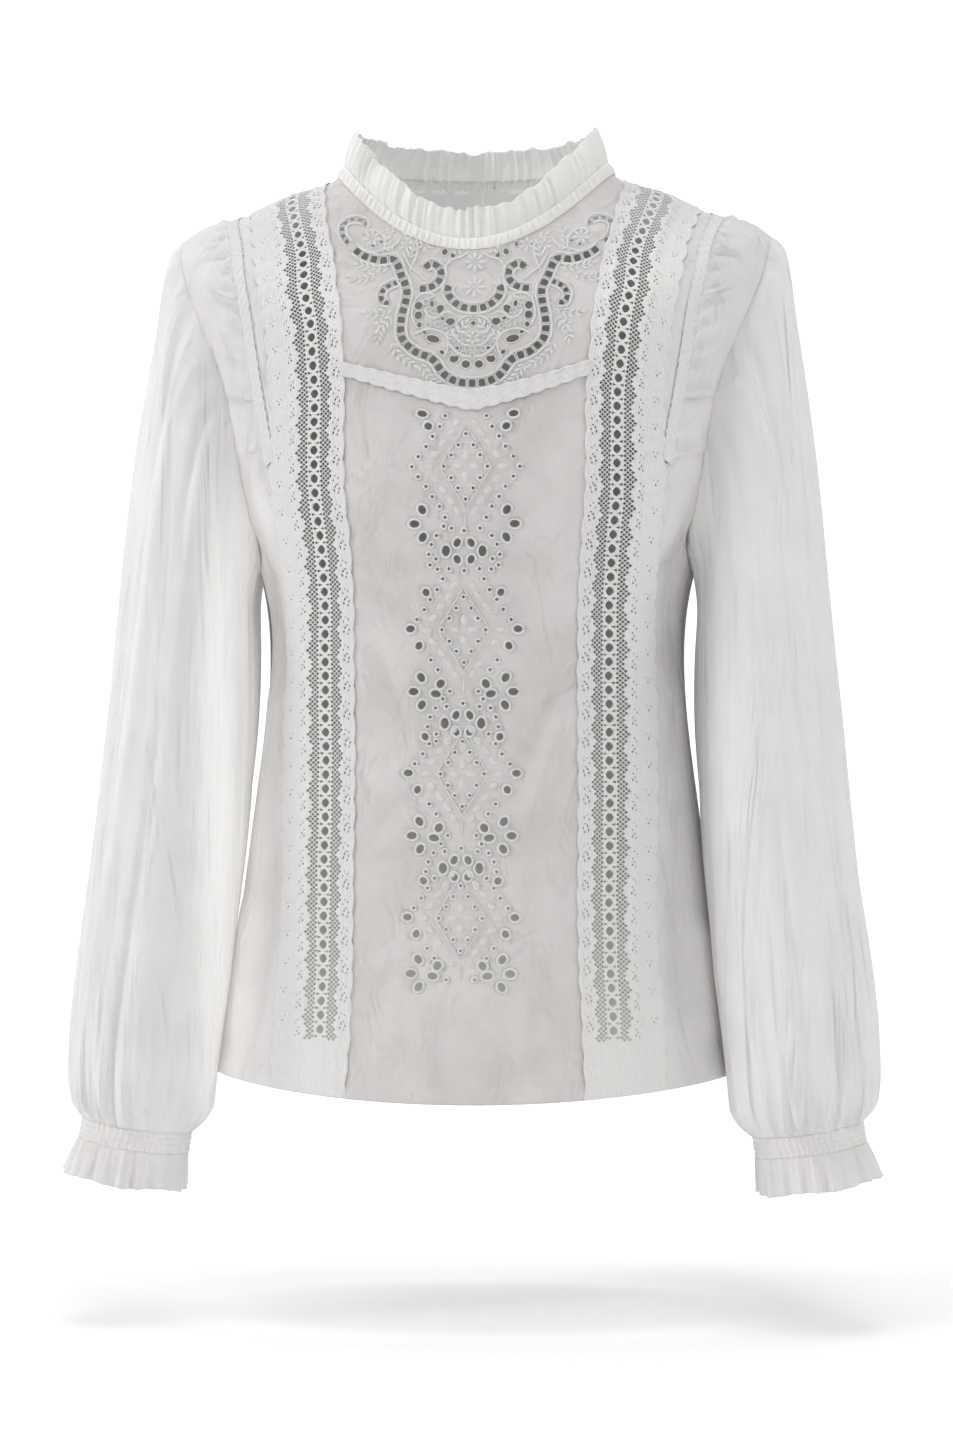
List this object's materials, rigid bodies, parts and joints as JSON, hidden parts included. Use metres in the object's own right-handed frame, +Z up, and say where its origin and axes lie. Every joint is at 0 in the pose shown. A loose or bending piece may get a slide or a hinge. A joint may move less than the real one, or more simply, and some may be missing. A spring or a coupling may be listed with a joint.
{
  "type": "lace blouse",
  "caption": "Hollow blouse in its worn form, with a cutwork yoke, ladder lace insertions, an eyelet panel, a stand ruffle collar and full sleeves gathered into ruffled cuffs.",
  "frame": {"origin": "midway between the shoulders at the height of the neck seam, where the wearer's shoulders carry the blouse", "axes": "+Z up from hem to collar, +X to the viewer's right when looking at the front, the front faces -Y"},
  "size_m": [0.5374, 0.2252, 0.6938],
  "materials": {
    "lawn": "matte off-white cotton lawn",
    "lace": "matte off-white cotton lace",
    "ruffle": "matte off-white gathered cotton lawn",
    "button": "satin off-white"
  },
  "bodies": {
    "root": {"front_centre": "lawn", "front_yoke": "lace", "yoke_trim": "lace", "lace_insert_left": "lace", "lace_insert_right": "lace", "front_wedge_left": "lawn", "front_wedge_right": "lawn", "armhole_lace_left": "lace", "armhole_lace_right": "lace", "front_side_left": "lawn", "front_side_right": "lawn", "back": "lawn", "sleeve_left": "lawn", "sleeve_right": "lawn", "cuff_band_left": "lawn", "cuff_band_right": "lawn", "cuff_ruffle_left": "ruffle", "cuff_ruffle_right": "ruffle", "neck_binding": "lace", "collar_ruffle": "ruffle", "back_button": "button", "back_loop": "lace"}
  },
  "joints": []
}
